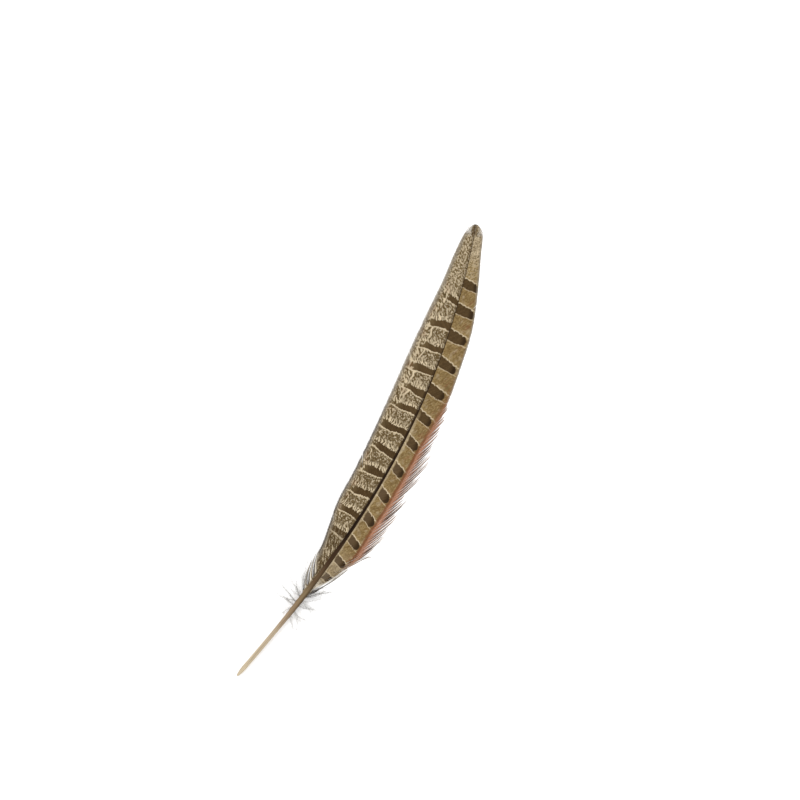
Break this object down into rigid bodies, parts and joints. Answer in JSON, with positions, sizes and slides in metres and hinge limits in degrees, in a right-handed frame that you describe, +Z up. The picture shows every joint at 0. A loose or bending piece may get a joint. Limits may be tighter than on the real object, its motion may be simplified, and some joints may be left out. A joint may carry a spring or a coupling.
{
  "type": "pheasant tail feather",
  "caption": "Barred brown pheasant tail feather lying flat, with a bare quill, a broad mottled web, a narrow fringed web and loose down.",
  "frame": {"origin": "on the surface that the feather lies on, under the middle of its bounding box", "axes": "+Y from the point of the quill to the tip of the feather, +Z up out of its patterned upper side, +X towards its narrow web"},
  "size_m": [0.0362, 0.25, 0.0051],
  "materials": {
    "quill": "satin",
    "broad_web": "matte",
    "narrow_web": "matte",
    "down": "matte"
  },
  "bodies": {
    "root": {"shaft": "quill", "broad_web": "broad_web", "narrow_web": "narrow_web", "down_left": "down", "down_right": "down"}
  },
  "joints": []
}
